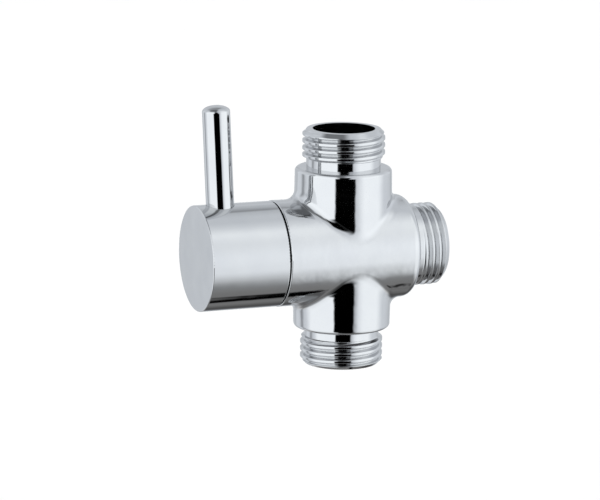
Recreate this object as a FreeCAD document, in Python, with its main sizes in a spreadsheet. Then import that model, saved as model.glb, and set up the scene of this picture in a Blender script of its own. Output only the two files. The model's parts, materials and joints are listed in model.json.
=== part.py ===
import FreeCAD, Part
import os
import re
import Sketcher
from FreeCAD import Placement, Rotation, Vector

# Three-way shower diverter with a ceramic disc cartridge, in millimetres.
# +Z up, +X out of the inlet. The origin is the centre of the inlet's end face.
# The outlets' axis is vertical, and the handle turns about the inlet's axis.

sizes = [
    # Cast body, measured from the crossing of the two pipe axes
    ("inlet_reach", 25.7, "pipe crossing to the inlet's end face"),
    ("top_reach", 31.07, "pipe crossing to the top outlet's end face"),
    ("bottom_reach", 29.3, "pipe crossing to the bottom outlet's end face"),
    ("seam_reach", 18.82, "pipe crossing to the middle of the handle's seam"),
    ("shoulder_run", 4.74, "rim of the collars to the barrel's shoulder at the inlet"),
    ("barrel_seam_radius", 13.48, "barrel at the handle's seam"),
    ("barrel_taper", 0.38, "radius lost from the seam to the inlet's shoulder"),
    ("shoulder_land", 0.3, "flat between the shoulder's round and the thread"),
    ("top_collar_height", 21.2, "pipe crossing to the top collar's face"),
    ("bottom_collar_height", 19.85, "pipe crossing to the bottom collar's face"),
    ("collar_inset", 1.22, "collars' faces narrower than the barrel's seam"),
    ("casting_draft", 1.0, "degrees of draft on the collars"),
    ("collar_round", 1.0, "round on the collars' rims"),
    ("blend_radius", 2.7, "blend between the collars and the barrel"),
    ("edge_round", 0.28, "rounded edges of barrel and knob"),
    ("edge_bevel", 0.3, "broken edges of the turned pieces"),
    # Half-inch pipe spigots
    ("thread_diameter", 20.955, "G 1/2 major diameter"),
    ("neck_depth", 1.04, "run-out neck below the threads' crests"),
    ("top_neck_length", 2.4, "run-out neck of the top outlet"),
    ("bottom_neck_length", 2.25, "run-out neck of the bottom outlet"),
    ("bore_radius", 7.9, "waterway bores"),
    ("rim_width", 1.45, "flat sealing rim round each outlet's bore"),
    ("inlet_rim_width", 1.15, "flat sealing rim round the inlet's bore"),
    # Waterways inside the body
    ("outlet_floor", 4.0, "pipe crossing to the blind floor of each outlet bore"),
    ("floor_web", 3.6, "metal between the outlet bores and the inlet bore"),
    ("drill_point", 118.0, "degrees of the inlet bore's conical end"),
    ("passage_radius", 2.6, "passage from the inlet bore to the cartridge"),
    ("channel_floor", 5.0, "pipe crossing to the end of the kidney channels"),
    ("port_radius", 2.4, "centre port of the cartridge"),
    ("kidney_inner", 3.7, "inner radius of the kidney ports"),
    ("kidney_margin", 1.1, "kidney ports to the shell's inside"),
    ("kidney_angle", 100.0, "degrees spanned by one kidney port"),
    # Cartridge seat
    ("cavity_depth", 9.18, "body's mouth to the cartridge's floor"),
    ("mouth_wall", 2.48, "barrel's wall round the tapped mouth"),
    ("mouth_step", 1.0, "tapped mouth wider than the cartridge cavity"),
    ("seat_relief", 0.3, "step of the tapped mouth below the nut's end"),
    ("slip", 0.05, "radial clearance of pieces that fit together"),
    ("film", 0.01, "water film between faces that slide"),
    ("rooting", 0.1, "how deep a raised block is rooted in its piece"),
    # Cartridge
    ("skirt_length", 4.1, "wide skirt of the shell"),
    ("skirt_gap", 0.1, "radial play of the skirt in the cavity"),
    ("shell_inset", 1.6, "shell above the skirt narrower than the cavity"),
    ("shell_wall", 1.0, "shell's wall above the skirt"),
    ("shell_top", 1.4, "top wall of the shell"),
    ("neck_ratio", 0.5446, "shell's neck inside, as a part of the shell's inside"),
    ("neck_wall", 1.37, "shell's neck wall"),
    ("cartridge_neck", 4.0, "length of the shell's neck"),
    ("ring_groove_start", 2.2, "seal groove above the skirt's end"),
    ("ring_section", 1.2, "section of the skirt's seal"),
    ("ring_play", 0.2, "seal groove wider than the seal"),
    ("disc_gap", 0.15, "radial play of the discs in the shell"),
    ("seal_height", 0.8, "plate seals below the base and the fixed disc"),
    ("base_height", 1.6, "cartridge base"),
    ("fixed_height", 2.0, "fixed disc"),
    ("moving_height", 2.2, "moving disc"),
    ("channel_depth", 1.3, "blind channel in the moving disc"),
    ("channel_angle", 130.0, "degrees spanned by the blind channel"),
    ("carrier_height", 1.8, "disc carrier"),
    ("key_width", 2.8, "keys of the base"),
    ("key_gap", 0.3, "end of the base's keys to the cavity's wall"),
    ("key_height", 1.2, "height of the base's keys"),
    ("peg_inset", 1.5, "axis of the base's pegs to the cavity's wall"),
    ("peg_radius", 0.9, "pegs of the base"),
    ("peg_length", 1.3, "pegs below the body's floor"),
    ("dog_depth", 1.2, "notches in the rims of the discs, from the shell's inside"),
    ("dog_width", 2.2, "notches in the rims of the discs"),
    ("dog_height", 1.1, "how far the dogs reach into the discs"),
    # Spindle
    ("flange_ratio", 0.811, "spindle's flange, as a part of the shell's inside"),
    ("flange_height", 1.2, "spindle's flange"),
    ("lug_gap", 0.25, "stop lug's end to the shell's inside"),
    ("lug_angle", 36.0, "degrees spanned by the stop lug"),
    ("lug_play", 0.15, "radial play of the flange inside the stop"),
    ("turn", 180.0, "degrees that the handle turns between its stops"),
    ("play_angle", 1.0, "degrees of play at the stops"),
    ("tang_length", 5.0, "drive tang"),
    ("tang_width", 2.6, "drive tang"),
    ("tang_height", 1.5, "drive tang"),
    ("spindle_ring_tube", 0.5, "section radius of the spindle's seals"),
    ("spindle_ring_gap", 0.03, "spindle's seals to the neck"),
    ("spindle_ring_inset", 1.2, "neck's start to the inner seal"),
    ("spindle_ring_spacing", 1.7, "between the spindle's seals"),
    ("thrust_washer_height", 0.4, "washer between flange and shell"),
    ("clip_height", 0.7, "open clip"),
    ("clip_depth", 0.58, "clip groove below the spindle's journal"),
    ("clip_width", 1.6, "clip's ring"),
    ("clip_angle", 300.0, "degrees spanned by the open clip"),
    ("spline_teeth", 20, "teeth of the spindle's end"),
    ("spline_step", 0.03, "tips of the spindle's teeth below its journal"),
    ("spline_depth", 0.45, "depth of the spindle's teeth"),
    ("spline_gap_tip", 0.3, "half width of a tooth gap at the tips"),
    ("spline_gap_root", 0.14, "half width of a tooth gap at the roots"),
    ("spindle_inset", 2.12, "spindle's outer end below the knob's end face"),
    # Gland nut, slip washer and guide ring
    ("slip_washer_height", 0.5, "washer below the gland nut"),
    ("nut_play", 0.1, "radial play of the shell in the gland nut"),
    ("nut_recess", 0.08, "gland nut's land below the body's mouth"),
    ("land_step", 0.4, "land for the guide ring, below the mouth's radius"),
    ("land_length", 2.4, "land that carries the guide ring"),
    ("hexagon_inset", 0.85, "hexagon's flats below the land"),
    ("hexagon_height", 3.0, "gland nut's hexagon"),
    ("ring_height", 2.1, "guide ring"),
    ("ring_slit", 1.2, "slit of the guide ring"),
    # Handle
    ("seam_gap", 0.3, "open seam between the body and the knob"),
    ("knob_inset", 0.13, "knob's radius below the barrel's at the seam"),
    ("knob_length", 20.33, "knob from its rim to its end face"),
    ("skirt_wall", 1.55, "knob's wall round its hollow"),
    ("clip_room", 0.73, "clip to the bottom of the knob's hollow"),
    ("boss_wall", 2.45, "knob's boss round the spindle's teeth"),
    ("core_step", 0.3, "cored pocket narrower than the hollow"),
    ("end_wall", 2.72, "knob's end face to the cored pocket"),
    ("core_angle", 276.0, "degrees spanned by the cored pocket"),
    ("bore_end_gap", 0.4, "room past the spindle's end"),
    ("lever_inset", 6.3, "lever's foot to the knob's end face"),
    ("lever_lean", 2.9, "degrees that the lever leans outward"),
    ("lever_base_radius", 3.53, "lever where it meets the knob"),
    ("lever_taper", 0.03, "radius lost up to the lever's domed end"),
    ("lever_height", 25.29, "knob's surface to the lever's tip"),
    ("lever_dome", 1.5, "height of the lever's domed end"),
    ("seat_depth", 1.2, "spot face below the knob's surface"),
    ("tap_radius", 2.5, "M5 hole for lever and grub screw"),
    ("grub_length", 4.6, "grub screw"),
    ("grub_gap", 0.39, "grub screw to the lever's tail"),
    ("point_radius", 1.2, "grub screw's dog point"),
    ("point_length", 0.8, "grub screw's dog point"),
    ("socket_flats", 2.5, "grub screw's hexagon socket"),
    ("socket_depth", 2.0, "grub screw's hexagon socket"),
    ("groove_depth", 0.4, "ring groove below the roots of the teeth"),
    ("groove_width", 3.0, "ring groove for the grub screw's point"),
]

# Radii and lengths that follow from the sizes
derived = {
    "barrel_end_radius": "barrel_seam_radius - barrel_taper",
    "collar_radius": "barrel_seam_radius - collar_inset",
    "shoulder_reach": "collar_radius + shoulder_run",
    "thread_radius": "thread_diameter / 2",
    "shoulder_round": "barrel_end_radius - thread_radius - shoulder_land",
    "neck_radius": "thread_radius - neck_depth",
    "rim_radius": "bore_radius + rim_width",
    "inlet_rim_radius": "bore_radius + inlet_rim_width",
    "inlet_floor": "bore_radius + floor_web",
    "mouth_radius": "barrel_seam_radius - mouth_wall",
    "cavity_radius": "mouth_radius - mouth_step",
    "shell_radius": "cavity_radius - shell_inset",
    "chamber_radius": "shell_radius - shell_wall",
    "disc_radius": "chamber_radius - disc_gap",
    "kidney_outer": "chamber_radius - kidney_margin",
    "neck_bore": "chamber_radius * neck_ratio",
    "neck_outer": "neck_bore + neck_wall",
    "ring_groove_radius": "cavity_radius - ring_section",
    "ring_groove_width": "ring_section + ring_play",
    "key_reach": "cavity_radius - key_gap",
    "peg_reach": "cavity_radius - peg_inset",
    "dog_inner": "chamber_radius - dog_depth",
    "flange_radius": "chamber_radius * flange_ratio",
    "lug_radius": "chamber_radius - lug_gap",
    "journal_radius": "neck_bore - slip",
    "spindle_ring_outer": "neck_bore - spindle_ring_gap",
    "spindle_ring_inner": "spindle_ring_outer - 2 * spindle_ring_tube",
    "clip_inner": "journal_radius - clip_depth",
    "clip_outer": "clip_inner + clip_width",
    "spline_outer": "journal_radius - spline_step",
    "spline_root": "spline_outer - spline_depth",
    "groove_radius": "spline_root - groove_depth",
    "nut_bore": "shell_radius + nut_play",
    "land_radius": "mouth_radius - land_step",
    "hexagon_flats": "2 * (land_radius - hexagon_inset)",
    "knob_radius": "barrel_seam_radius - knob_inset",
    "skirt_bore": "knob_radius - skirt_wall",
    "core_outer": "skirt_bore - core_step",
    "core_inner": "spline_outer + boss_wall",
    "lever_tip_radius": "lever_base_radius - lever_taper",
    # Stations along the handle's axis, counted outward from the pipe crossing
    "mouth_at": "seam_reach - seam_gap / 2",
    "knob_at": "seam_reach + seam_gap / 2",
    "floor_at": "mouth_at - cavity_depth",
    "base_at": "floor_at + seal_height",
    "disc_seal_at": "base_at + base_height",
    "fixed_disc_at": "disc_seal_at + seal_height",
    "moving_disc_at": "fixed_disc_at + fixed_height + film",
    "carrier_at": "moving_disc_at + moving_height",
    "flange_at": "carrier_at + carrier_height",
    "thrust_washer_at": "flange_at + flange_height + film",
    "shell_top_at": "thrust_washer_at + thrust_washer_height",
    "neck_at": "shell_top_at + shell_top",
    "inner_seal_at": "neck_at + spindle_ring_inset",
    "outer_seal_at": "inner_seal_at + spindle_ring_spacing",
    "clip_at": "neck_at + cartridge_neck + slip",
    "slip_washer_at": "floor_at + skirt_length",
    "nut_at": "slip_washer_at + slip_washer_height",
    "nut_thread_length": "mouth_at - nut_at - nut_recess",
    "hollow_at": "clip_at + clip_height + clip_room",
    "knob_end_at": "knob_at + knob_length",
    "core_at": "knob_end_at - end_wall",
    "spindle_end_at": "knob_end_at - spindle_inset",
    "lever_at": "knob_end_at - lever_inset",
    "groove_at": "lever_at - (knob_radius - spline_outer) * tan(lever_lean)",
    # Along the lever's axis, from the knob's surface down
    "point_drop": "point_radius * sin(lever_lean)",
    "grub_at": "(knob_radius - groove_radius - film - point_drop) / cos(lever_lean)",
    "tail_length": "grub_at - seat_depth - grub_length - grub_gap",
}

doc = FreeCAD.newDocument("ShowerDiverter")
sheet = doc.addObject("Spreadsheet::Sheet", "Sizes")
for row, (alias, value, note) in enumerate(sizes, start=1):
    sheet.set(f"A{row}", note)
    sheet.set(f"B{row}", str(value))
    sheet.setAlias(f"B{row}", alias)
doc.recompute()

pieces = []
rough_radius = 20.0  # where a sketch's corners start, before the sizes drive them
same_place = 1e-4
least_volume = 1e-6


def named(formula):
    # Each size in a formula gets its full name in the sheet, and a derived one its own formula.
    aliases = {alias for alias, _, _ in sizes}

    def spelled_out(word):
        name = word[0]
        if name in derived:
            return f"({named(derived[name])})"
        return f"Sizes.{name}" if name in aliases else name

    return re.sub(r"[a-z_]+", spelled_out, formula)


def drive(target, path, formula):
    target.setExpression(path, named(formula))


def origin_feature(body, role):
    for feature in body.Origin.OriginFeatures:
        if feature.Role == role:
            return feature
    raise ValueError(role)


def new_piece(label):
    body = doc.addObject("PartDesign::Body", label)
    body.Label = label
    pieces.append(body)
    return body


def stack_on_axis(piece, station):
    # A cartridge or handle piece is drawn with its +Z pointing out of the handle.
    piece.Placement = Placement(Vector(0, 0, 0), Rotation(Vector(0, 1, 0), -90))
    drive(piece, ".Placement.Base.x", f"- inlet_reach - ({station})")


def new_sketch(body, name, plane="XZ_Plane", height=None):
    sketch = body.newObject("Sketcher::SketchObject", name)
    sketch.AttachmentSupport = (origin_feature(body, plane), [""])
    sketch.MapMode = "FlatFace"
    if height is not None:
        drive(sketch, ".AttachmentOffset.Base.z", height)
    return sketch


def place_point(sketch, geometry, point, across, up):
    # A coordinate of 0 puts the point on the axis, any other is a driven distance.
    for kind, axis, formula in (("DistanceX", -2, across), ("DistanceY", -1, up)):
        if formula == "0":
            sketch.addConstraint(Sketcher.Constraint("PointOnObject", geometry, point, axis))
        else:
            number = sketch.addConstraint(Sketcher.Constraint(kind, -1, 1, geometry, point, 1.0))
            drive(sketch, f"Constraints[{number}]", formula)


def outline(body, name, corners, plane="XZ_Plane", height=None):
    sketch = new_sketch(body, name, plane, height)
    count = len(corners)
    rough = [Vector(rough_radius, 0, 0)]
    for _ in range(count - 1):
        rough.append(Rotation(Vector(0, 0, 1), 360 / count).multVec(rough[-1]))
    for side in range(count):
        sketch.addGeometry(Part.LineSegment(rough[side], rough[(side + 1) % count]), False)
    for side in range(count):
        sketch.addConstraint(Sketcher.Constraint("Coincident", side, 2, (side + 1) % count, 1))
    for side, (across, up) in enumerate(corners):
        place_point(sketch, side, 1, across, up)
    return sketch


def circle(body, name, radius, centre=("0", "0"), plane="XY_Plane", height=None):
    sketch = new_sketch(body, name, plane, height)
    sketch.addGeometry(Part.Circle(Vector(rough_radius, 0, 0), Vector(0, 0, 1), 1.0), False)
    number = sketch.addConstraint(Sketcher.Constraint("Radius", 0, 1.0))
    drive(sketch, f"Constraints[{number}]", radius)
    place_point(sketch, 0, 3, *centre)
    return sketch


def rectangle(across_low, across_high, up_low, up_high):
    return [(across_low, up_low), (across_high, up_low), (across_high, up_high), (across_low, up_high)]


def hexagon(flats):
    half = f"({flats}) / 2"
    point = f"({flats}) / sqrt(3)"
    corner = f"({flats}) / sqrt(12)"
    return [(point, "0"), (corner, half), (f"- {corner}", half),
            (f"- {point}", "0"), (f"- {corner}", f"- {half}"), (corner, f"- {half}")]


def checked(feature, grows):
    # Every feature has to add or remove metal.
    doc.recompute()
    before = feature.BaseFeature.Shape.Volume if feature.BaseFeature else 0.0
    change = feature.Shape.Volume - before
    if (change > least_volume) != grows or abs(change) < least_volume:
        raise ValueError(f"{feature.Name} changes the volume by {change}")
    return feature


def turned(body, name, profile, cut=False, axis="V_Axis", span=None):
    feature = body.newObject("PartDesign::Groove" if cut else "PartDesign::Revolution", name)
    feature.Profile = profile
    feature.ReferenceAxis = (profile, [axis])
    feature.Angle = 360
    if span is not None:
        feature.Midplane = True
        drive(feature, "Angle", span)
    return checked(feature, grows=not cut)


def extruded(body, name, profile, length, cut=False, reverse=False):
    feature = body.newObject("PartDesign::Pocket" if cut else "PartDesign::Pad", name)
    feature.Profile = profile
    feature.Reversed = reverse
    drive(feature, "Length", length)
    return checked(feature, grows=not cut)


def repeated(body, name, originals, copies, axis="Z_Axis"):
    feature = body.newObject("PartDesign::PolarPattern", name)
    feature.Originals = originals
    feature.Axis = (origin_feature(body, axis), [""])
    feature.Angle = 360
    drive(feature, "Occurrences", copies)
    body.Tip = feature
    doc.recompute()
    return feature


def widest_circles(shape, lies_there):
    # The widest round edges among those whose centre lies where it should.
    rounds = [edge for edge in shape.Edges
              if edge.Curve.TypeId == "Part::GeomCircle" and lies_there(edge.Curve.Center)]
    widest = max(edge.Curve.Radius for edge in rounds)
    return [edge for edge in rounds if abs(edge.Curve.Radius - widest) < same_place]


def dressed(body, name, kind, base, chosen, size):
    numbers = [number for number, edge in enumerate(base.Shape.Edges, start=1)
               if any(edge.isSame(one) for one in chosen)]
    feature = body.newObject(f"PartDesign::{kind}", name)
    feature.Base = (base, [f"Edge{number}" for number in numbers])
    drive(feature, "Radius" if kind == "Fillet" else "Size", size)
    doc.recompute()
    return feature


def plain_ring(label, station, inner, outer, height):
    body = new_piece(label)
    profile = outline(body, f"{label}_profile", rectangle(inner, outer, "0", height))
    turned(body, f"{label}_turn", profile)
    stack_on_axis(body, station)
    return body


def seal_ring(label, station, inner, outer):
    ring = doc.addObject("Part::Torus", label)
    ring.Label = label
    drive(ring, "Radius1", f"(({outer}) + ({inner})) / 2")
    drive(ring, "Radius2", f"(({outer}) - ({inner})) / 2")
    pieces.append(ring)
    stack_on_axis(ring, station)
    return ring


def kidney_ports(body, depth_low, depth_high, axis="V_Axis", pattern_axis="Z_Axis"):
    # Two kidney-shaped ports, one towards each outlet.
    if axis == "V_Axis":
        corners = rectangle("kidney_inner", "kidney_outer", depth_low, depth_high)
    else:
        corners = rectangle(depth_low, depth_high, "kidney_inner", "kidney_outer")
    profile = outline(body, f"{body.Name}_kidney_profile", corners)
    kidney = turned(body, f"{body.Name}_kidney", profile, cut=True, axis=axis, span="kidney_angle")
    return repeated(body, f"{body.Name}_kidneys", [kidney], "2", pattern_axis)


def rim_notches(body, inner, outer, width, height, depth):
    # A notch in the rim on each side of the piece, cut down from the given height.
    for side, sign in (("rear", ""), ("front", "- ")):
        corners = rectangle(f"- ({width}) / 2", f"({width}) / 2", f"{sign}({inner})", f"{sign}({outer})")
        sketch = outline(body, f"{body.Name}_{side}_notch_profile", corners, "XY_Plane", height)
        extruded(body, f"{body.Name}_{side}_notch", sketch, depth, cut=True)


def side_blocks(body, name, inner, outer, width, height, length):
    # A block on each side of the piece, standing up from the given height.
    for side, sign in (("rear", ""), ("front", "- ")):
        corners = rectangle(f"- ({width}) / 2", f"({width}) / 2", f"{sign}({inner})", f"{sign}({outer})")
        sketch = outline(body, f"{body.Name}_{side}_{name}_profile", corners, "XY_Plane", height)
        extruded(body, f"{body.Name}_{side}_{name}", sketch, length)


def above(station, start):
    return f"{station} - {start}"


def make_valve_body():
    body = new_piece("valve_body")

    barrel_profile = outline(body, "barrel_profile", [
        ("- mouth_at", "0"),
        ("- mouth_at", "barrel_seam_radius"),
        ("shoulder_reach", "barrel_end_radius"),
        ("shoulder_reach", "thread_radius"),
        ("inlet_reach - thread_radius + inlet_rim_radius", "thread_radius"),
        ("inlet_reach", "inlet_rim_radius"),
        ("inlet_reach", "0"),
    ])
    turned(body, "barrel", barrel_profile, axis="H_Axis")

    def spigot(sign, reach, collar_height, neck_length):
        lead = "(thread_radius - rim_radius)"
        return [
            ("0", f"{sign}{reach}"),
            ("rim_radius", f"{sign}{reach}"),
            ("thread_radius", f"{sign}({reach} - {lead})"),
            ("thread_radius", f"{sign}({collar_height} + {neck_length})"),
            ("neck_radius", f"{sign}({collar_height} + {neck_length})"),
            ("neck_radius", f"{sign}{collar_height}"),
            ("collar_radius", f"{sign}{collar_height}"),
            (f"collar_radius + {collar_height} * tan(casting_draft)", "0"),
            ("0", "0"),
        ]

    top_profile = outline(body, "top_outlet_profile", spigot(
        "", "top_reach", "top_collar_height", "top_neck_length"))
    turned(body, "top_outlet", top_profile)
    bottom_profile = outline(body, "bottom_outlet_profile", spigot(
        "- ", "bottom_reach", "bottom_collar_height", "bottom_neck_length"))
    cross = turned(body, "bottom_outlet", bottom_profile)

    crossings = [edge for edge in cross.Shape.Edges if edge.Curve.TypeId == "Part::GeomBSplineCurve"]
    blended = dressed(body, "collar_blends", "Fillet", cross, crossings, "blend_radius")

    def on_collar_rim(centre):
        heights = (sheet.top_collar_height, -sheet.bottom_collar_height)
        return any(abs(centre.z - height) < same_place for height in heights)

    rims = widest_circles(blended.Shape, on_collar_rim)
    rimmed = dressed(body, "collar_rims", "Fillet", blended, rims, "collar_round")
    shoulder = widest_circles(rimmed.Shape, lambda centre: centre.x > same_place)
    rounded = dressed(body, "shoulder_edge", "Fillet", rimmed, shoulder, "shoulder_round")
    seam = widest_circles(rounded.Shape, lambda centre: centre.x < -same_place)
    dressed(body, "seam_edge", "Fillet", rounded, seam, "edge_round")

    for side, sign, reach in (("top", "", "top_reach"), ("bottom", "- ", "bottom_reach")):
        bore_profile = outline(body, f"{side}_bore_profile", rectangle(
            "0", "bore_radius", f"{sign}outlet_floor", f"{sign}{reach}"))
        turned(body, f"{side}_bore", bore_profile, cut=True)

    inlet_profile = outline(body, "inlet_bore_profile", [
        ("inlet_reach", "0"),
        ("inlet_reach", "bore_radius"),
        ("inlet_floor", "bore_radius"),
        ("inlet_floor - (bore_radius - passage_radius) / tan(drill_point / 2)", "passage_radius"),
        ("- floor_at", "passage_radius"),
        ("- floor_at", "0"),
    ])
    turned(body, "inlet_bore", inlet_profile, cut=True, axis="H_Axis")

    tapped_from = "- nut_at + seat_relief"
    cavity_profile = outline(body, "cavity_profile", [
        ("- floor_at", "0"),
        ("- floor_at", "cavity_radius"),
        (tapped_from, "cavity_radius"),
        (tapped_from, "mouth_radius"),
        ("- mouth_at + edge_bevel", "mouth_radius"),
        ("- mouth_at", "mouth_radius + edge_bevel"),
        ("- mouth_at", "0"),
    ])
    turned(body, "cavity", cavity_profile, cut=True, axis="H_Axis")
    kidney_ports(body, "- floor_at", "- channel_floor", "H_Axis", "X_Axis")

    for side, sign in (("rear", ""), ("front", "- ")):
        hole = circle(body, f"{side}_peg_hole_profile", "peg_radius + slip",
                      (f"{sign}peg_reach", "0"), "YZ_Plane", "- floor_at")
        extruded(body, f"{side}_peg_hole", hole, "peg_length + slip", cut=True, reverse=True)
    drive(body, ".Placement.Base.x", "- inlet_reach")


def make_base_seal():
    body = plain_ring("base_seal", "floor_at", "port_radius", "disc_radius", "seal_height")
    kidney_ports(body, "0", "seal_height")


def make_cartridge_base():
    body = plain_ring("cartridge_base", "base_at", "port_radius", "chamber_radius - slip", "base_height")
    kidney_ports(body, "0", "base_height")
    side_blocks(body, "key", "chamber_radius - slip - rooting", "key_reach", "key_width", "0", "key_height")
    side_blocks(body, "dog", "dog_inner + slip", "chamber_radius - rooting", "dog_width - 2 * slip",
                "base_height - rooting", "rooting + seal_height + dog_height")
    for side, sign in (("rear", ""), ("front", "- ")):
        centre = ("0", f"{sign}peg_reach")
        peg = circle(body, f"{side}_peg_profile", "peg_radius", centre, "XY_Plane", "rooting")
        extruded(body, f"{side}_peg", peg, "rooting + seal_height + peg_length", reverse=True)


def make_disc_seal():
    body = plain_ring("disc_seal", "disc_seal_at", "port_radius", "disc_radius", "seal_height")
    kidney_ports(body, "0", "seal_height")
    rim_notches(body, "dog_inner", "chamber_radius", "dog_width", "seal_height", "seal_height")


def make_fixed_disc():
    body = plain_ring("fixed_disc", "fixed_disc_at", "port_radius", "disc_radius", "fixed_height")
    kidney_ports(body, "0", "fixed_height")
    rim_notches(body, "dog_inner", "chamber_radius", "dog_width", "fixed_height", "fixed_height")


def make_moving_disc():
    body = plain_ring("moving_disc", "moving_disc_at", "0", "disc_radius", "moving_height")
    channel_profile = outline(body, "channel_profile", rectangle("0", "kidney_outer", "0", "channel_depth"))
    turned(body, "channel", channel_profile, cut=True, span="channel_angle")
    port = circle(body, "channel_port_profile", "port_radius")
    extruded(body, "channel_port", port, "channel_depth", cut=True, reverse=True)
    rim_notches(body, "dog_inner", "chamber_radius", "dog_width", "moving_height", "dog_height + slip")


def make_disc_carrier():
    body = plain_ring("disc_carrier", "carrier_at", "0", "disc_radius", "carrier_height")
    side_blocks(body, "dog", "dog_inner + slip", "disc_radius - slip", "dog_width - 2 * slip",
                "- dog_height", "dog_height + rooting")
    slot = outline(body, "tang_slot_profile", rectangle(
        "- tang_length / 2 - slip", "tang_length / 2 + slip",
        "- tang_width / 2 - slip", "tang_width / 2 + slip"), "XY_Plane", "carrier_height")
    extruded(body, "tang_slot", slot, "carrier_height", cut=True)


def make_spindle():
    body = new_piece("spindle")
    clip = above("clip_at", "flange_at")
    end = above("spindle_end_at", "flange_at")
    groove = above("groove_at", "flange_at")
    half_groove = "(spindle_ring_tube + slip)"
    corners = [("0", "0"), ("flange_radius", "0"), ("flange_radius", "flange_height"),
               ("journal_radius", "flange_height")]
    for seal_at in ("inner_seal_at", "outer_seal_at"):
        low = f"{seal_at} - flange_at - {half_groove}"
        high = f"{seal_at} - flange_at + {half_groove}"
        corners += [("journal_radius", low), ("spindle_ring_inner", low),
                    ("spindle_ring_inner", high), ("journal_radius", high)]
    corners += [("journal_radius", clip), ("clip_inner", clip), ("clip_inner", f"{clip} + clip_height"),
                ("spline_outer", f"{clip} + clip_height"),
                ("spline_outer", f"{groove} - groove_width / 2"),
                ("groove_radius", f"{groove} - groove_width / 2"),
                ("groove_radius", f"{groove} + groove_width / 2"),
                ("spline_outer", f"{groove} + groove_width / 2"),
                ("spline_outer", f"{end} - edge_bevel"),
                ("spline_outer - edge_bevel", end), ("0", end)]
    turned(body, "spindle_turn", outline(body, "spindle_profile", corners))
    lug_profile = outline(body, "stop_lug_profile", rectangle(
        "flange_radius - rooting", "lug_radius", "0", "flange_height"))
    turned(body, "stop_lug", lug_profile, span="lug_angle")
    tang = outline(body, "tang_profile", rectangle(
        "- tang_length / 2", "tang_length / 2", "- tang_width / 2", "tang_width / 2"), "XY_Plane")
    extruded(body, "tang", tang, "tang_height", reverse=True)
    gap_profile = outline(body, "tooth_gap_profile", [
        ("spline_root", "- spline_gap_root"),
        ("spline_outer + slip", "- spline_gap_tip"),
        ("spline_outer + slip", "spline_gap_tip"),
        ("spline_root", "spline_gap_root"),
    ], "XY_Plane", end)
    gap = extruded(body, "tooth_gap", gap_profile, f"{end} - ({clip}) - clip_height", cut=True)
    repeated(body, "tooth_gaps", [gap], "spline_teeth")
    stack_on_axis(body, "flange_at")


def make_cartridge_shell():
    body = new_piece("cartridge_shell")
    skirt = "cavity_radius - skirt_gap"
    inside_top = above("shell_top_at", "floor_at")
    outside_top = above("neck_at", "floor_at")
    profile = outline(body, "shell_profile", [
        ("chamber_radius", "0"),
        (skirt, "0"),
        (skirt, "ring_groove_start"),
        ("ring_groove_radius", "ring_groove_start"),
        ("ring_groove_radius", "ring_groove_start + ring_groove_width"),
        (skirt, "ring_groove_start + ring_groove_width"),
        (skirt, "skirt_length"),
        ("shell_radius", "skirt_length"),
        ("shell_radius", outside_top),
        ("neck_outer", outside_top),
        ("neck_outer", f"{outside_top} + cartridge_neck"),
        ("neck_bore", f"{outside_top} + cartridge_neck"),
        ("neck_bore", inside_top),
        ("chamber_radius", inside_top),
    ])
    turned(body, "shell_turn", profile)
    # The stop fills the part of the turn that the spindle's lug never reaches.
    stop_profile = outline(body, "stop_profile", rectangle(
        "flange_radius + lug_play", "chamber_radius + rooting",
        "flange_at - floor_at + slip", f"{inside_top} + rooting"), "YZ_Plane")
    turned(body, "stop", stop_profile, span="360 - turn - lug_angle - play_angle")
    slot_height = "seal_height + key_height + slip"
    rim_notches(body, "chamber_radius - key_width", "cavity_radius", "key_width + 2 * slip",
                slot_height, slot_height)
    stack_on_axis(body, "floor_at")


def make_gland_nut():
    body = new_piece("gland_nut")
    land_end = "nut_thread_length + land_length"
    nut_end = f"{land_end} + hexagon_height"
    profile = outline(body, "nut_profile", [
        ("nut_bore", "0"),
        ("mouth_radius - slip - edge_bevel", "0"),
        ("mouth_radius - slip", "edge_bevel"),
        ("mouth_radius - slip", "nut_thread_length"),
        ("land_radius", "nut_thread_length"),
        ("land_radius", land_end),
        ("nut_bore", land_end),
    ])
    turned(body, "nut_turn", profile)
    hexagon_profile = outline(body, "nut_hexagon_profile", hexagon("hexagon_flats"), "XY_Plane", land_end)
    extruded(body, "nut_hexagon", hexagon_profile, "hexagon_height")
    corner = "hexagon_flats / sqrt(3) + edge_bevel"
    trim_profile = outline(body, "corner_trim_profile", [
        ("land_radius", f"{land_end}"),
        (corner, f"{land_end}"),
        (corner, nut_end),
        ("hexagon_flats / 2", nut_end),
        ("land_radius", f"{nut_end} - 2 * edge_bevel"),
    ])
    turned(body, "corner_trim", trim_profile, cut=True)
    bore = circle(body, "nut_bore_profile", "nut_bore", height=nut_end)
    extruded(body, "nut_bore", bore, "hexagon_height", cut=True)
    stack_on_axis(body, "nut_at")


def make_guide_ring():
    body = plain_ring("guide_ring", "mouth_at + film", "land_radius + slip", "skirt_bore - slip - film",
                      "ring_height")
    slit = outline(body, "ring_slit_profile", rectangle(
        "- skirt_bore", "- nut_bore", "- ring_slit / 2", "ring_slit / 2"), "XY_Plane", "ring_height")
    extruded(body, "ring_slit_cut", slit, "ring_height", cut=True)


def make_spindle_clip():
    body = new_piece("spindle_clip")
    profile = outline(body, "clip_profile", rectangle("clip_inner", "clip_outer", "0", "clip_height"))
    turned(body, "clip_turn", profile, span="clip_angle")
    stack_on_axis(body, "clip_at")


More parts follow.
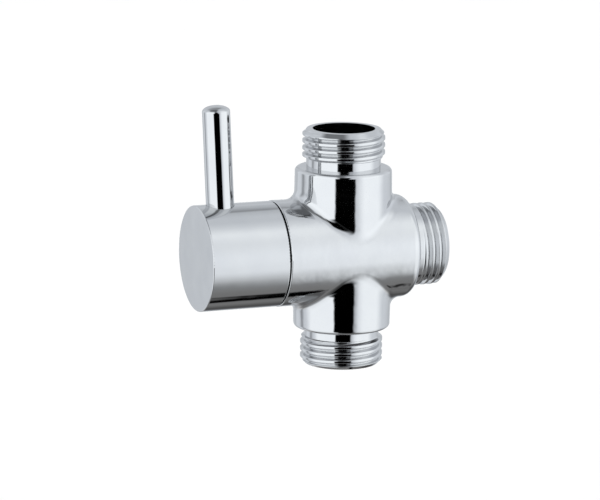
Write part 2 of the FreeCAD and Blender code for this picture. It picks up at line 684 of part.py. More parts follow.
def make_handle_knob():
    body = new_piece("handle_knob")
    end = above("knob_end_at", "knob_at")
    hollow = above("hollow_at", "knob_at")
    core = above("core_at", "knob_at")
    bore_end = above("spindle_end_at + bore_end_gap", "knob_at")
    profile = outline(body, "knob_profile", [
        ("skirt_bore + edge_bevel", "0"),
        ("knob_radius", "0"),
        ("knob_radius", end),
        ("0", end),
        ("0", hollow),
        ("skirt_bore", hollow),
        ("skirt_bore", "edge_bevel"),
    ])
    blank = turned(body, "knob_turn", profile)
    rims = widest_circles(blank.Shape, lambda centre: True)
    dressed(body, "knob_edges", "Fillet", blank, rims, "edge_round")
    # The core leaves a boss for the spindle and a block for the lever.
    core_profile = outline(body, "core_profile", rectangle("- core_inner", "- core_outer", hollow, core))
    turned(body, "core", core_profile, cut=True, span="core_angle")
    bore = circle(body, "spline_bore_profile", "spline_root + slip", height=bore_end)
    extruded(body, "spline_bore", bore, f"{bore_end} - ({hollow})", cut=True)
    root_half = "pi * spline_root / spline_teeth - spline_gap_root + slip / 2"
    tip_half = "pi * spline_outer / spline_teeth - spline_gap_tip + slip / 2"
    space = outline(body, "tooth_space_profile", [
        ("spline_root - slip", f"- ({root_half})"),
        ("spline_outer + slip", f"- ({tip_half})"),
        ("spline_outer + slip", tip_half),
        ("spline_root - slip", root_half),
    ], "XY_Plane", bore_end)
    drive(space, ".AttachmentOffset.Rotation.Angle", "180 / spline_teeth")
    cut = extruded(body, "tooth_space", space, f"{bore_end} - ({hollow})", cut=True)
    repeated(body, "tooth_spaces", [cut], "spline_teeth")
    # The lever's hole runs from the knob's surface into the spindle's bore.
    hole = outline(body, "lever_hole_profile", [
        ("seat_depth", "0"),
        ("seat_depth", "lever_base_radius + slip"),
        ("- seat_depth", "lever_base_radius + slip"),
        ("- seat_depth", "tap_radius"),
        ("- knob_radius + groove_radius", "tap_radius"),
        ("- knob_radius + groove_radius", "0"),
    ])
    drive(hole, ".AttachmentOffset.Rotation.Angle", "lever_lean")
    drive(hole, ".AttachmentOffset.Base.x", "knob_radius")
    drive(hole, ".AttachmentOffset.Base.y", above("lever_at", "knob_at"))
    turned(body, "lever_hole", hole, cut=True, axis="H_Axis")
    stack_on_axis(body, "knob_at")


def stand_in_lever_hole(piece, depth):
    # A piece on the lever's axis, its origin at the given depth below the knob's surface.
    piece.Placement = Placement(Vector(0, 0, 0), Rotation(Vector(0, -1, 0), 1))
    drive(piece, ".Placement.Rotation.Angle", "lever_lean")
    drive(piece, ".Placement.Base.x", f"- inlet_reach - lever_at + ({depth}) * sin(lever_lean)")
    drive(piece, ".Placement.Base.z", f"knob_radius - ({depth}) * cos(lever_lean)")


def make_lever_pin():
    body = new_piece("lever_pin")
    top = "seat_depth + lever_height - lever_dome"
    profile = outline(body, "lever_profile", [
        ("0", "- tail_length"),
        ("tap_radius - slip - edge_bevel", "- tail_length"),
        ("tap_radius - slip", "- tail_length + edge_bevel"),
        ("tap_radius - slip", "0"),
        ("lever_base_radius", "0"),
        ("lever_base_radius", "seat_depth"),
        ("lever_tip_radius", top),
        ("0", top),
    ])
    turned(body, "lever_turn", profile)
    dome = body.newObject("PartDesign::AdditiveEllipsoid", "lever_end")
    drive(dome, "Radius1", "lever_dome")
    drive(dome, "Radius2", "lever_tip_radius")
    drive(dome, "Radius3", "lever_tip_radius")
    dome.AttachmentSupport = (origin_feature(body, "XY_Plane"), [""])
    dome.MapMode = "FlatFace"
    drive(dome, ".AttachmentOffset.Base.z", top)
    checked(dome, grows=True)
    stand_in_lever_hole(body, "seat_depth")


def make_grub_screw():
    body = new_piece("grub_screw")
    profile = outline(body, "grub_profile", [
        ("0", "0"),
        ("point_radius", "0"),
        ("point_radius", "point_length"),
        ("tap_radius - slip", "point_length + edge_bevel"),
        ("tap_radius - slip", "grub_length - edge_bevel"),
        ("tap_radius - slip - edge_bevel", "grub_length"),
        ("0", "grub_length"),
    ])
    turned(body, "grub_turn", profile)
    socket = outline(body, "socket_profile", hexagon("socket_flats"), "XY_Plane", "grub_length")
    extruded(body, "socket", socket, "socket_depth", cut=True)
    stand_in_lever_hole(body, "grub_at")


make_valve_body()
make_handle_knob()
make_lever_pin()
make_grub_screw()
make_gland_nut()
make_guide_ring()
plain_ring("slip_washer", "slip_washer_at", "shell_radius + slip", "cavity_radius - skirt_gap",
           "slip_washer_height")
make_cartridge_shell()
seal_ring("body_o_ring", "floor_at + ring_groove_start + ring_groove_width / 2",
          "ring_groove_radius", "cavity_radius")
make_cartridge_base()
make_base_seal()
make_disc_seal()
make_fixed_disc()
make_moving_disc()
make_disc_carrier()
make_spindle()
seal_ring("spindle_o_ring_inner", "inner_seal_at", "spindle_ring_inner", "spindle_ring_outer")
seal_ring("spindle_o_ring_outer", "outer_seal_at", "spindle_ring_inner", "spindle_ring_outer")
plain_ring("thrust_washer", "thrust_washer_at", "neck_bore", "flange_radius", "thrust_washer_height")
make_spindle_clip()
doc.recompute()

for thing in doc.Objects:
    if "Invalid" in thing.State or "Error" in thing.State:
        raise ValueError(f"{thing.Label}: {thing.State}")
for piece in pieces:
    if piece.Shape.isNull() or not piece.Shape.isValid() or len(piece.Shape.Solids) != 1:
        raise ValueError(f"{piece.Label} has no sound solid")

os.makedirs("parts", exist_ok=True)
for piece in pieces:
    piece.Shape.exportStep(f"parts/{piece.Label}.step")
    print(f"{piece.Label}: {piece.Shape.Volume:.1f} mm3")
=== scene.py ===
import json
import math

import bmesh
import bpy
from mathutils import Matrix, Vector


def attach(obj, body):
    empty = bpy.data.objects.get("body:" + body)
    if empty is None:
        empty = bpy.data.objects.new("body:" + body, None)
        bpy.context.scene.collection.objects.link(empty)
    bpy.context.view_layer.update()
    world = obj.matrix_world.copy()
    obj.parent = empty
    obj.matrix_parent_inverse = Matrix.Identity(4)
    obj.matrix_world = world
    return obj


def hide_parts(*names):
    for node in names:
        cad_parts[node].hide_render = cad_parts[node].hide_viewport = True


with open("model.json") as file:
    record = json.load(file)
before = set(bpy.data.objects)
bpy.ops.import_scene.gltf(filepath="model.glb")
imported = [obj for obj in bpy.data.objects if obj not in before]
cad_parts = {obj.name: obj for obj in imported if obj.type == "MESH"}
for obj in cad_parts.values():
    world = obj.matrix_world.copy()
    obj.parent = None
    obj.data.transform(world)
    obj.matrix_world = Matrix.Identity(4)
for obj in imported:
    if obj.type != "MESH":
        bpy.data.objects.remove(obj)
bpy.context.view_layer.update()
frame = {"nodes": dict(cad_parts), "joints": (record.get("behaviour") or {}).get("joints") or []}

mm = 0.001
nodes = frame["nodes"]
crossing = Vector(frame["joints"][0]["pos_m"])  # where the axes of the pipes meet
print("frame loaded")


def linear(hexColour):
    # sRGB hex, as a colour picker shows it, to linear light
    channels = [int(hexColour[start:start + 2], 16) / 255 for start in (1, 3, 5)]
    bent = [c / 12.92 if c <= 0.04045 else ((c + 0.055) / 1.055) ** 2.4 for c in channels]
    return (*bent, 1.0)


def addNode(tree, kind, inputs=None, output=0, **settings):
    # adds a node with its settings; an input takes a value or another node's output
    node = tree.nodes.new(kind)
    for name, value in settings.items():
        setattr(node, name, value)
    for socket, value in (inputs or {}).items():
        if isinstance(value, bpy.types.NodeSocket):
            tree.links.new(value, node.inputs[socket])
        else:
            node.inputs[socket].default_value = value
    return node.outputs[output] if node.outputs else None


# camera: fitted to the outlines of barrel, knob, collars and lever
cameraSettings = {
    "azimuth": -20.887,     # degrees, 0 looks along +Y
    "elevation": 11.937,
    "roll": 0.624,
    "distance": 896.02,     # mm to the crossing of the pipes
    "lens": 211.8,          # mm
    "sensor": 36.0,
    "frame": (600, 500),    # pixels
    "crossingPixel": (342.32, 248.78),      # where the picture shows the crossing
    "clip": (0.05, 10.0),   # m
}


def makeCamera():
    s = cameraSettings
    a, e, r = (math.radians(s[key]) for key in ("azimuth", "elevation", "roll"))
    back = Vector((math.sin(a) * math.cos(e), -math.cos(a) * math.cos(e), math.sin(e)))
    level = Vector((math.cos(a), math.sin(a), 0))
    upright = back.cross(level)
    right = math.cos(r) * level + math.sin(r) * upright
    up = math.cos(r) * upright - math.sin(r) * level
    width, height = s["frame"]
    perPixel = s["sensor"] / s["lens"] / width * s["distance"] * mm
    aside = (s["crossingPixel"][0] - width / 2) * perPixel
    below = (s["crossingPixel"][1] - height / 2) * perPixel
    place = crossing - aside * right + below * up + s["distance"] * mm * back
    data = bpy.data.cameras.new("camera")
    data.lens = s["lens"]
    data.sensor_width = s["sensor"]
    data.clip_start, data.clip_end = s["clip"]
    camera = bpy.data.objects.new("camera", data)
    turn = Matrix((right, up, back)).transposed()
    camera.matrix_world = Matrix.Translation(place) @ turn.to_4x4()
    bpy.context.scene.collection.objects.link(camera)
    bpy.context.scene.camera = camera


makeCamera()
print("camera placed")


# light tent: pale walls, two softboxes, a grey table below and a dark slit for the camera
# its levels, cards and overhead gap are mostly the rounded results of a fit to the tones in the photograph
tentSettings = {
    "tableLevel": 0.27,
    # from and to in degrees of elevation, and the change of level: off the table, up the wall, to the top
    "fades": ((-58, -38, 0.63), (-46, 6, 0.16), (5, 40, -0.155)),
    "tintFade": (-50, -30),
    "tableTint": "#FAFAFA",
    "wallTint": "#F4F9FF",
    "boxTint": "#F8FCFF",
    "diffuseLevel": 1.05,   # light on matt surfaces
}
# panels and gaps: middle, half extent and soft edge in degrees, and the share of light gained or lost
tentCards = {
    "left softbox": {"across": (-58, 50, 22), "upright": (-8, 57, 15), "gain": 0.46},
    "right softbox": {"across": (50, 31, 30), "upright": (3, 61, 23), "gain": 0.45},
    "table on the left": {"across": (-83, 45, 30), "upright": (-61, 12, 16), "gain": 0.3},
    "dark table below the camera": {"across": (3, 28, 18), "upright": (-52, 10, 45), "gain": -1.0},
    "left seam": {"across": (-131, 5, 14), "upright": (-22, 28, 36), "gain": -0.6},
    "right seam": {"across": (118, 8, 30), "upright": (-50, 44, 32), "gain": -0.2},
    "back right": {"across": (148, 24, 14), "upright": (-15, 36, 16), "gain": -0.3},
    "back left": {"across": (-141, 3, 18), "upright": (31, 17, 14), "gain": 0.15},
    "back": {"across": (-176, 16, 7), "upright": (-10, 30, 22), "gain": -0.25},
    "low back": {"across": (138, 30, 28), "upright": (-42, 12, 18), "gain": -0.8},
    "high back right": {"across": (164, 26, 44), "upright": (48, 21, 38), "gain": -0.25},
    "high back": {"across": (180, 34, 5), "upright": (66, 20, 12), "gain": -0.4},
    "table edge": {"across": (112, 36, 14), "upright": (-69, 2, 2), "gain": -1.0},
    "camera": {"across": (-16, 24, 5), "upright": (-14, 19, 28), "gain": -1.0},
    "camera stand": {"across": (-10, 23, 16), "upright": (-33, 18, 18), "gain": -1.0},
    "camera's shadow": {"across": (-18, 15, 10), "upright": (16, 23, 13), "gain": -1.0},
    "gap above the camera": {"across": (-27, 15, 16), "upright": (56, 17, 6), "gain": -0.75},
}
overheadGap = {"azimuth": -102, "elevation": 76, "radius": 21, "edge": 13, "gain": -0.7}


def withinSpan(tree, angle, middle, half, edge):
    # 1 within a span of angles, 0 beyond its soft edge
    off = addNode(tree, "ShaderNodeMath", {0: angle, 1: middle}, operation="SUBTRACT")
    off = addNode(tree, "ShaderNodeMath", {0: off, 1: 180.0, 2: -180.0}, operation="WRAP")
    off = addNode(tree, "ShaderNodeMath", {0: off}, operation="ABSOLUTE")
    return addNode(tree, "ShaderNodeMapRange",
                   {"Value": off, "From Min": half - edge / 2, "From Max": half + edge / 2,
                    "To Min": 1.0, "To Max": 0.0}, interpolation_type="SMOOTHSTEP")


def tentWalls(tree, elevation):
    # strength and tint of the bare tent, from the table up
    s = tentSettings
    level = s["tableLevel"]
    for low, high, step in s["fades"]:
        rise = addNode(tree, "ShaderNodeMapRange",
                       {"Value": elevation, "From Min": low, "From Max": high, "To Max": step},
                       interpolation_type="SMOOTHSTEP")
        level = addNode(tree, "ShaderNodeMath", {0: rise, 1: level}, operation="ADD")
    low, high = s["tintFade"]
    share = addNode(tree, "ShaderNodeMapRange", {"Value": elevation, "From Min": low, "From Max": high},
                    interpolation_type="SMOOTHSTEP")
    tint = addNode(tree, "ShaderNodeMix",
                   {0: share, 6: linear(s["tableTint"]), 7: linear(s["wallTint"])},
                   output=2, data_type="RGBA")
    return level, tint


def hangCards(tree, azimuth, elevation, level, tint):
    # a card that adds light is a softbox, one that takes it a dark panel, a gap or a seam
    for name, card in tentCards.items():
        inside = addNode(tree, "ShaderNodeMath",
                         {0: withinSpan(tree, azimuth, *card["across"]),
                          1: withinSpan(tree, elevation, *card["upright"])}, operation="MULTIPLY")
        factor = addNode(tree, "ShaderNodeMath", {0: inside, 1: card["gain"], 2: 1.0},
                         operation="MULTIPLY_ADD")
        level = addNode(tree, "ShaderNodeMath", {0: level, 1: factor}, operation="MULTIPLY", label=name)
        if card["gain"] > 0:
            tint = addNode(tree, "ShaderNodeMix", {0: inside, 6: tint, 7: linear(tentSettings["boxTint"])},
                           output=2, data_type="RGBA")
    return level, tint


def openOverhead(tree, direction, level):
    # round gap in the top of the tent
    s = overheadGap
    a, e = math.radians(s["azimuth"]), math.radians(s["elevation"])
    towards = (math.sin(a) * math.cos(e), -math.cos(a) * math.cos(e), math.sin(e))
    cosine = addNode(tree, "ShaderNodeVectorMath", {0: direction, 1: towards}, output=1,
                     operation="DOT_PRODUCT")
    off = addNode(tree, "ShaderNodeMath", {0: cosine}, operation="ARCCOSINE")
    off = addNode(tree, "ShaderNodeMath", {0: off}, operation="DEGREES")
    factor = addNode(tree, "ShaderNodeMapRange",
                     {"Value": off, "From Min": s["radius"] - s["edge"] / 2,
                      "From Max": s["radius"] + s["edge"] / 2,
                      "To Min": 1.0 + s["gain"], "To Max": 1.0}, interpolation_type="SMOOTHSTEP")
    return addNode(tree, "ShaderNodeMath", {0: level, 1: factor}, operation="MULTIPLY")


def makeTent():
    world = bpy.data.worlds.new("tent")
    bpy.context.scene.world = world
    world.use_nodes = True
    tree = world.node_tree
    tree.nodes.clear()

    # azimuth 0 points along -Y, where a camera at azimuth 0 stands
    direction = addNode(tree, "ShaderNodeTexCoord", output="Generated")
    x, y, z = addNode(tree, "ShaderNodeSeparateXYZ", {0: direction}).node.outputs
    towardsView = addNode(tree, "ShaderNodeMath", {0: y, 1: -1.0}, operation="MULTIPLY")
    azimuth = addNode(tree, "ShaderNodeMath", {0: x, 1: towardsView}, operation="ARCTAN2")
    azimuth = addNode(tree, "ShaderNodeMath", {0: azimuth}, operation="DEGREES")
    elevation = addNode(tree, "ShaderNodeMath", {0: z}, operation="ARCSINE")
    elevation = addNode(tree, "ShaderNodeMath", {0: elevation}, operation="DEGREES")

    level, tint = tentWalls(tree, elevation)
    level, tint = hangCards(tree, azimuth, elevation, level, tint)
    level = openOverhead(tree, direction, level)

    # the eye sees plain white, metal mirrors the tent, and matt surfaces get its even light
    path = addNode(tree, "ShaderNodeLightPath").node.outputs
    white = (1.0, 1.0, 1.0, 1.0)
    tent = addNode(tree, "ShaderNodeBackground", {"Color": tint, "Strength": level})
    backdrop = addNode(tree, "ShaderNodeBackground", {"Color": white})
    even = addNode(tree, "ShaderNodeBackground", {"Color": white, "Strength": tentSettings["diffuseLevel"]})
    mirrored = addNode(tree, "ShaderNodeMath", {0: path["Is Glossy Ray"], 1: path["Is Transmission Ray"]},
                       operation="MAXIMUM")
    lit = addNode(tree, "ShaderNodeMixShader", {0: mirrored, 1: even, 2: tent})
    seen = addNode(tree, "ShaderNodeMixShader", {0: path["Is Camera Ray"], 1: lit, 2: backdrop})
    addNode(tree, "ShaderNodeOutputWorld", {"Surface": seen})


makeTent()
bpy.context.scene.view_settings.view_transform = "Standard"
print("tent made")


# materials
# where barrel and collars meet, in mm
blendSettings = {
    "barrelRadius": 13.4,
    "collarRadius": 12.33,
    "topReach": 0.55,       # how far before the two meet the skin starts to turn, where they lie alike
    "bottomReach": 0.45,
    "sideReach": 2.5,       # more of it where they meet squarely
    "fade": 0.2,            # share of the reach over which the turned skin comes in
    "depth": (0.9, 0.6),    # deeper inside the metal than this, nothing turns
    "change": 1.0,          # this far above the axis the top's reach holds, below it the bottom's
}


def offAxis(tree, centred, mask, radius):
    # direction away from an axis, and height above a cylinder about it
    across = addNode(tree, "ShaderNodeVectorMath", {0: centred, 1: mask}, operation="MULTIPLY")
    reach = addNode(tree, "ShaderNodeVectorMath", {0: across}, output=1, operation="LENGTH")
    away = addNode(tree, "ShaderNodeVectorMath", {0: across}, operation="NORMALIZE")
    return away, addNode(tree, "ShaderNodeMath", {0: reach, 1: radius * mm}, operation="SUBTRACT")


def flowingNormal(tree, place):
    # buffing wears the corner between barrel and collars: the skin turns gently from one to the other
    s = blendSettings
    centred = addNode(tree, "ShaderNodeVectorMath", {0: place, 1: tuple(crossing)}, operation="SUBTRACT")
    offBarrel, aboveBarrel = offAxis(tree, centred, (0, 1, 1), s["barrelRadius"])
    offCollar, aboveCollar = offAxis(tree, centred, (1, 1, 0), s["collarRadius"])

    height = addNode(tree, "ShaderNodeSeparateXYZ", {0: centred}, output="Z")
    least = addNode(tree, "ShaderNodeMapRange",
                    {"Value": height, "From Min": -s["change"] * mm, "From Max": s["change"] * mm,
                     "To Min": s["bottomReach"] * mm, "To Max": s["topReach"] * mm})
    alike = addNode(tree, "ShaderNodeVectorMath", {0: offBarrel, 1: offCollar}, output=1,
                    operation="DOT_PRODUCT")
    square = addNode(tree, "ShaderNodeMath", {0: 1.0, 1: alike}, operation="SUBTRACT")
    reach = addNode(tree, "ShaderNodeMath", {0: square, 1: s["sideReach"] * mm, 2: least},
                    operation="MULTIPLY_ADD")
    apart = addNode(tree, "ShaderNodeMath", {0: aboveBarrel, 1: aboveCollar}, operation="SUBTRACT")
    apart = addNode(tree, "ShaderNodeMath", {0: apart, 1: reach}, operation="DIVIDE")
    share = addNode(tree, "ShaderNodeMapRange", {"Value": apart, "From Min": -1.0, "From Max": 1.0},
                    interpolation_type="SMOOTHSTEP")
    turned = addNode(tree, "ShaderNodeMix", {0: share, 4: offBarrel, 5: offCollar}, output=1,
                     data_type="VECTOR")
    turned = addNode(tree, "ShaderNodeVectorTransform", {0: turned}, vector_type="NORMAL",
                     convert_from="OBJECT", convert_to="WORLD")

    # only near the corner, and only on the outside
    beside = addNode(tree, "ShaderNodeMath", {0: apart}, operation="ABSOLUTE")
    beside = addNode(tree, "ShaderNodeMapRange",
                     {"Value": beside, "From Min": 1 - s["fade"], "From Max": 1 + s["fade"],
                      "To Min": 1.0, "To Max": 0.0}, interpolation_type="SMOOTHSTEP")
    inner, outer = s["depth"]
    lower = addNode(tree, "ShaderNodeMath", {0: aboveBarrel, 1: aboveCollar}, operation="MINIMUM")
    outside = addNode(tree, "ShaderNodeMapRange",
                      {"Value": lower, "From Min": -inner * mm, "From Max": -outer * mm},
                      interpolation_type="SMOOTHSTEP")
    near = addNode(tree, "ShaderNodeMath", {0: beside, 1: outside}, operation="MULTIPLY")
    own = addNode(tree, "ShaderNodeNewGeometry", output="Normal")
    mixed = addNode(tree, "ShaderNodeMix", {0: near, 4: own, 5: turned}, output=1, data_type="VECTOR")
    return addNode(tree, "ShaderNodeVectorMath", {0: mixed}, operation="NORMALIZE")


def makeMaterial(name, s):
    # colour and gloss that differ in patches, over a grain of fine relief
    material = bpy.data.materials.new(name)
    material.use_nodes = True
    tree = material.node_tree
    shader = tree.nodes["Principled BSDF"]
    shader.inputs["Metallic"].default_value = s["metallic"]
    if "ior" in s:
        shader.inputs["IOR"].default_value = s["ior"]
    place = addNode(tree, "ShaderNodeTexCoord", output="Object")

    patches = addNode(tree, "ShaderNodeTexNoise",
                      {"Vector": place, "Scale": 1 / (s["patch"] * mm), "Detail": 4.0})
    low, high = 0.3, 0.7    # between these the noise mostly lies
    share = addNode(tree, "ShaderNodeMapRange", {"Value": patches, "From Min": low, "From Max": high})
    colour = addNode(tree, "ShaderNodeMix",
                     {0: share, 6: linear(s["darkTone"]), 7: linear(s["lightTone"])},
                     output=2, data_type="RGBA")
    roughness = addNode(tree, "ShaderNodeMapRange",
                        {"Value": patches, "From Min": low, "From Max": high,
                         "To Min": s["roughness"][0], "To Max": s["roughness"][1]})
    drawn = addNode(tree, "ShaderNodeMapping", {"Vector": place, "Scale": s.get("stretch", (1, 1, 1))})
    grain = addNode(tree, "ShaderNodeTexNoise",
                    {"Vector": drawn, "Scale": 1 / (s["grain"] * mm), "Detail": s["grainDetail"]})
    relief = {"Height": grain, "Strength": 1.0, "Distance": s["grainDepth"] * mm}
    if s.get("flows"):
        relief["Normal"] = flowingNormal(tree, place)
    normal = addNode(tree, "ShaderNodeBump", relief)
    for socket, value in (("Base Color", colour), ("Roughness", roughness), ("Normal", normal)):
        tree.links.new(value, shader.inputs[socket])
    return material


# patch, grain and grainDepth in mm: size of the patches, and size and height of the grain
finishes = {
    # chrome over a buffed casting: a mirror whose surface wanders a little, with a breath of haze
    "polished_chrome_on_cast_brass": {
        "pieces": (),       # goes on the cast body below
        "metallic": 1.0,
        "darkTone": "#C8C9CB", "lightTone": "#CCCDCE", "patch": 6, "roughness": (0.03, 0.07),
        "grain": 5, "grainDetail": 2.0, "grainDepth": 0.055,    # waves left by the buffing wheel
        "flows": True,
    },
    # chrome over turned metal: the same plate on a truer surface
    "polished_chrome_on_turned_parts": {
        "pieces": ("handle_knob", "lever_pin"),
        "metallic": 1.0,
        "darkTone": "#C8C9CB", "lightTone": "#CCCDCE", "patch": 6, "roughness": (0.03, 0.07),
        "grain": 8, "grainDetail": 1.0, "grainDepth": 0.03,     # longer waves of a true surface
    },
    # chrome over a cut thread: bright, but no buffing wheel gets into the grooves
    "chrome_on_cut_thread": {
        "pieces": (),       # goes on the cast body's threads
        "metallic": 1.0,
        "darkTone": "#C8C9CB", "lightTone": "#CCCDCE", "patch": 6, "roughness": (0.036, 0.084),
        "grain": 1.2, "grainDetail": 1.0, "grainDepth": 0.006,  # within a groove's width
    },
    # turned brass: yellow metal, satin from the rings that the tool leaves
    "turned_brass": {
        "pieces": ("gland_nut", "cartridge_shell", "spindle"),
        "metallic": 1.0,
        "darkTone": "#D6BA82", "lightTone": "#E4CD9B", "patch": 3, "roughness": (0.22, 0.34),
        "grain": 1.5, "grainDetail": 2.0, "grainDepth": 0.004,
        "stretch": (12, 1, 1),      # rings 0.125 mm apart, about one feed of the tool
    },
    # plain hardened steel: bright grey, faintly uneven
    "plain_hardened_steel": {
        "pieces": ("grub_screw", "spindle_clip"),
        "metallic": 1.0,
        "darkTone": "#B3B4B6", "lightTone": "#BFC0C2", "patch": 1, "roughness": (0.22, 0.36),
        "grain": 0.3, "grainDetail": 2.0, "grainDepth": 0.003,  # skin left by hardening
    },
    # moulded nylon: satin, a little waxy; its black is painted shade, so that the guide ring darkens the
    # seam between knob and body as the shade in that gap would
    "black_nylon_and_seam_shade": {
        "pieces": ("guide_ring",),
        "metallic": 0.0, "ior": 1.53,
        "darkTone": "#2C2C2D", "lightTone": "#373738", "patch": 4, "roughness": (0.38, 0.5),
        "grain": 0.5, "grainDetail": 2.0, "grainDepth": 0.004,  # spark texture of the mould
    },
    # nylon sheet, stamped to a washer: milky, with a dull skin
    "stamped_white_nylon": {
        "pieces": ("slip_washer",),
        "metallic": 0.0, "ior": 1.53,
        "darkTone": "#E6E4DC", "lightTone": "#EEEDE7", "patch": 3, "roughness": (0.42, 0.55),
        "grain": 0.4, "grainDetail": 2.0, "grainDepth": 0.004,  # rolled skin of the sheet
    },
    # moulded acetal: dense blue-grey with a soft gloss
    "moulded_grey_acetal": {
        "pieces": ("cartridge_base", "disc_carrier", "thrust_washer"),
        "metallic": 0.0, "ior": 1.48,
        "darkTone": "#BEC6CC", "lightTone": "#C9D0D6", "patch": 4, "roughness": (0.28, 0.42),
        "grain": 0.6, "grainDetail": 2.0, "grainDepth": 0.004,  # spark texture of the mould
    },
    # moulded rubber: matt charcoal, dusty in patches
    "moulded_nitrile_rubber": {
        "pieces": ("body_o_ring", "base_seal", "disc_seal", "spindle_o_ring_inner", "spindle_o_ring_outer"),
        "metallic": 0.0, "ior": 1.52,
        "darkTone": "#2B2B2C", "lightTone": "#38383A", "patch": 2, "roughness": (0.6, 0.78),
        "grain": 0.25, "grainDetail": 2.0, "grainDepth": 0.006,     # grit of the mould
    },
    # sintered alumina with lapped faces: warm white, glossy where the two discs slide on each other
    "lapped_alumina_ceramic": {
        "pieces": ("fixed_disc", "moving_disc"),
        "metallic": 0.0, "ior": 1.76,
        "darkTone": "#EFEDE6", "lightTone": "#F6F4EF", "patch": 3, "roughness": (0.12, 0.24),
        "grain": 0.2, "grainDetail": 2.0, "grainDepth": 0.001,  # crystals, drawn coarser than real
    },
}
made = {}
for title, finish in finishes.items():
    made[title] = makeMaterial(title, finish)
    for name in finish["pieces"]:
        nodes[name].data.materials.clear()
        nodes[name].data.materials.append(made[title])
print("materials made")


# cast body with real threads on its three spigots
# half-inch pipe thread, in mm
threadSettings = {
    "pitch": 1.814,
    "crestRadius": 10.4775,
    "crestFlat": 0.42,      # blunt crests, narrow grooves
    "crestRound": 0.2,
    "rootRound": 0.16,
    "flankAngle": 27.5,     # degrees, half of the thread's angle
    "roundSteps": 4,        # edges round each crest and root, down each flank and in a turn
    "flankSteps": 4,
    "turnSteps": 144,
    "seam": 0.02,           # strip that joins a thread to the casting
    "weld": 0.001,          # corners closer than this are one
}
# lengths in mm from the crossing of the pipes, along each spigot's own axis
spigots = {
    "top": {
        "turn": (0, 0),         # degrees about X and Y that bring its axis upright
        "start": 23.6, "end": 31.07,
        "rimRadius": 9.35,
        "neckRadius": 9.4375,
        "plain": 0.0,           # neck left smooth before the thread
        "growth": 0.5,          # length over which the thread comes up to full height
        "crestAt": 25.22, "crestAngle": -20.92,     # a place on the crest
    },
    "bottom": {
        "turn": (180, 0),
        "start": 22.1, "end": 29.3,
        "rimRadius": 9.35,
        "neckRadius": 9.4375,
        "plain": 0.0,
        "growth": 0.5,
        "crestAt": 24.86, "crestAngle": 20.92,
    },
    "side": {
        "turn": (0, 90),
        "start": 17.0, "end": 25.7,
        "rimRadius": 9.05,
        "neckRadius": 10.4775,
        "plain": 1.3,
        "growth": 1.2,
        "crestAt": 24.83, "crestAngle": -12.8,
    },
}


def threadOutline():
    # radius and height along one turn's section, from the middle of a groove to the next
    s = threadSettings
    lean = math.radians(90 - s["flankAngle"])
    steps = s["roundSteps"]
    crest = [(s["crestRadius"], 0.0)]
    for step in range(steps + 1):
        turn = lean * step / steps
        crest.append((s["crestRadius"] - s["crestRound"] * (1 - math.cos(turn)),
                      s["crestFlat"] / 2 + s["crestRound"] * math.sin(turn)))
    fromRadius, fromHeight = crest[-1]
    toHeight = s["pitch"] / 2 - s["rootRound"] * math.sin(lean)
    toRadius = fromRadius - (toHeight - fromHeight) * math.tan(lean)
    flank = [(fromRadius + (toRadius - fromRadius) * step / s["flankSteps"],
              fromHeight + (toHeight - fromHeight) * step / s["flankSteps"])
             for step in range(1, s["flankSteps"])]
    root = []
    for step in range(steps + 1):
        turn = lean * (1 - step / steps)
        root.append((toRadius - s["rootRound"] * (math.cos(turn) - math.cos(lean)),
                     s["pitch"] / 2 - s["rootRound"] * math.sin(turn)))
    upper = crest + flank + root
    return [(radius, -height) for radius, height in reversed(upper[1:])] + upper


def cutThread(spigot):
    # the helical skin of one spigot, upright on the Z axis
    s = threadSettings
    start, end, crestAt = spigot["start"], spigot["end"], spigot["crestAt"]
    form = bmesh.new()
    turned = Matrix.Rotation(math.radians(spigot["crestAngle"]), 3, "Z")
    turnsBelow = math.ceil((crestAt - start) / s["pitch"]) + 1
    turns = turnsBelow + math.ceil((end - crestAt) / s["pitch"]) + 1
    lowest = crestAt - turnsBelow * s["pitch"]
    corners = [form.verts.new(turned @ Vector((radius * mm, 0, (lowest + height) * mm)))
               for radius, height in threadOutline()]
    sides = [form.edges.new(pair) for pair in zip(corners, corners[1:])]
    bmesh.ops.spin(form, geom=corners + sides, cent=Vector(), axis=Vector((0, 0, 1)), angle=math.tau,
                   dvec=Vector((0, 0, s["pitch"] * mm / s["turnSteps"])), steps=s["turnSteps"])
    oneTurn = form.verts[:] + form.edges[:] + form.faces[:]
    for number in range(1, turns):
        more = bmesh.ops.duplicate(form, geom=oneTurn)["geom"]
        bmesh.ops.translate(form, vec=Vector((0, 0, number * s["pitch"] * mm)),
                            verts=[part for part in more if isinstance(part, bmesh.types.BMVert)])
    bmesh.ops.remove_doubles(form, verts=form.verts, dist=s["weld"] * mm)

    # the thread grows out of the neck, and its free end is chamfered
    for corner in form.verts:
        radius, station = corner.co.xy.length / mm, corner.co.z / mm
        wanted = min(radius, spigot["rimRadius"] + max(0.0, end - station))
        grown = min(1.0, max(0.0, (station - start - spigot["plain"]) / spigot["growth"]))
        corner.co.xy *= (spigot["neckRadius"] + (wanted - spigot["neckRadius"]) * grown) / radius
    for station, side in ((start + s["seam"], -1), (end - s["seam"], 1)):
        bmesh.ops.bisect_plane(form, geom=form.verts[:] + form.edges[:] + form.faces[:],
                               plane_co=Vector((0, 0, station * mm)), plane_no=Vector((0, 0, side)),
                               clear_outer=True)
    return form


def copyCasting():
    # the casting's mesh as one merged shell that remembers its own normal at each corner
    casting = nodes["valve_body"].data
    form = bmesh.new()
    form.from_mesh(casting)
    exact = form.loops.layers.float_vector.new("exact")
    for face in form.faces:
        for loop in face.loops:
            loop[exact] = casting.corner_normals[loop.index].vector
    bmesh.ops.remove_doubles(form, verts=form.verts, dist=threadSettings["weld"] * mm)
    return form


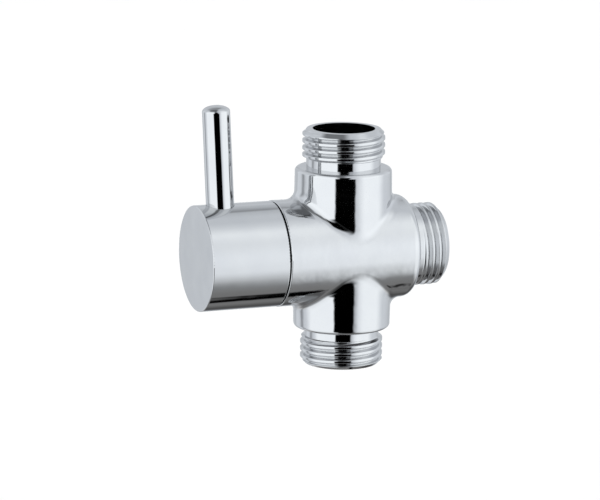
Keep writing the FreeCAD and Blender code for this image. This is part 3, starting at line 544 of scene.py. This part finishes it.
def fitThread(form, name, spigot):
    # takes one spigot's plain skin away and joins its thread on
    s = threadSettings
    start, end = spigot["start"], spigot["end"]
    near = 2 * s["seam"]
    aboutX, aboutY = (math.radians(turn) for turn in spigot["turn"])
    stand = (Matrix.Translation(crossing) @ Matrix.Rotation(aboutX, 4, "X")
             @ Matrix.Rotation(aboutY, 4, "Y"))
    lying = stand.inverted()

    def isWithin(corner, lowest, highest, leastRadius):
        place = lying @ corner.co / mm
        return (lowest - near < place.z < highest + near
                and leastRadius - near < place.xy.length < s["crestRadius"] + near)

    skin = [face for face in form.faces
            if all(isWithin(corner, start, end, spigot["rimRadius"]) for corner in face.verts)]
    bmesh.ops.delete(form, geom=skin, context="FACES")
    thread = cutThread(spigot)
    bmesh.ops.transform(thread, matrix=stand, verts=thread.verts)
    threadMesh = bpy.data.meshes.new(f"{name}_thread")
    thread.to_mesh(threadMesh)
    thread.free()
    already = len(form.faces)
    form.from_mesh(threadMesh)
    bpy.data.meshes.remove(threadMesh)
    form.faces.ensure_lookup_table()
    for face in form.faces[already:]:
        face.material_index = 1     # the thread's chrome
    exact = form.loops.layers.float_vector["exact"]
    for station in (start, end):
        rims = [edge for edge in form.edges if edge.is_boundary
                and all(isWithin(corner, station, station, 0) for corner in edge.verts)]
        for face in bmesh.ops.bridge_loops(form, edges=rims)["faces"]:
            for loop in face.loops:
                loop[exact] = Vector()      # takes the smooth normal, as the thread does
    print("thread cut on the", name, "spigot")


def makeCastBody():
    # the casting with its threads; its own normals go back on, and the threads get smooth ones
    form = copyCasting()
    for name, spigot in spigots.items():
        fitThread(form, name, spigot)
    bmesh.ops.recalc_face_normals(form, faces=form.faces)
    mesh = bpy.data.meshes.new("cast_body")
    form.to_mesh(mesh)
    form.free()
    mesh.shade_smooth()
    if "custom_normal" in mesh.attributes:
        mesh.attributes.remove(mesh.attributes["custom_normal"])
    kept = mesh.attributes["exact"]
    normals = [tuple(corner.vector) for corner in kept.data]
    mesh.attributes.remove(kept)
    mesh.normals_split_custom_set(normals)
    mesh.materials.clear()
    for title in ("polished_chrome_on_cast_brass", "chrome_on_cut_thread"):
        mesh.materials.append(made[title])
    piece = bpy.data.objects.new("cast_body", mesh)
    bpy.context.scene.collection.objects.link(piece)
    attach(piece, "body")
    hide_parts("valve_body")


makeCastBody()
print("body made")


# floor
floorSettings = {
    "level": -0.14,         # m, well below the fitting
    "halfSize": 2.0,
    # matt paper: white, with the faint unevenness of its fibres, drawn coarser than real
    "matt_white_paper": {
        "metallic": 0.0,
        "darkTone": "#FBFBFB", "lightTone": "#FDFDFD", "patch": 30, "roughness": (0.85, 0.95),
        "grain": 4, "grainDetail": 2.0, "grainDepth": 0.01,
    },
}


def makeFloor():
    s = floorSettings
    form = bmesh.new()
    bmesh.ops.create_grid(form, x_segments=1, y_segments=1, size=s["halfSize"])
    bmesh.ops.translate(form, vec=Vector((0, 0, s["level"])), verts=form.verts)
    mesh = bpy.data.meshes.new("floor")
    form.to_mesh(mesh)
    form.free()
    mesh.materials.append(makeMaterial("matt_white_paper", s["matt_white_paper"]))
    floor = bpy.data.objects.new("floor", mesh)
    bpy.context.scene.collection.objects.link(floor)
    floor.visible_glossy = False    # what the metal mirrors below it is the tent's table


makeFloor()
print("floor laid")
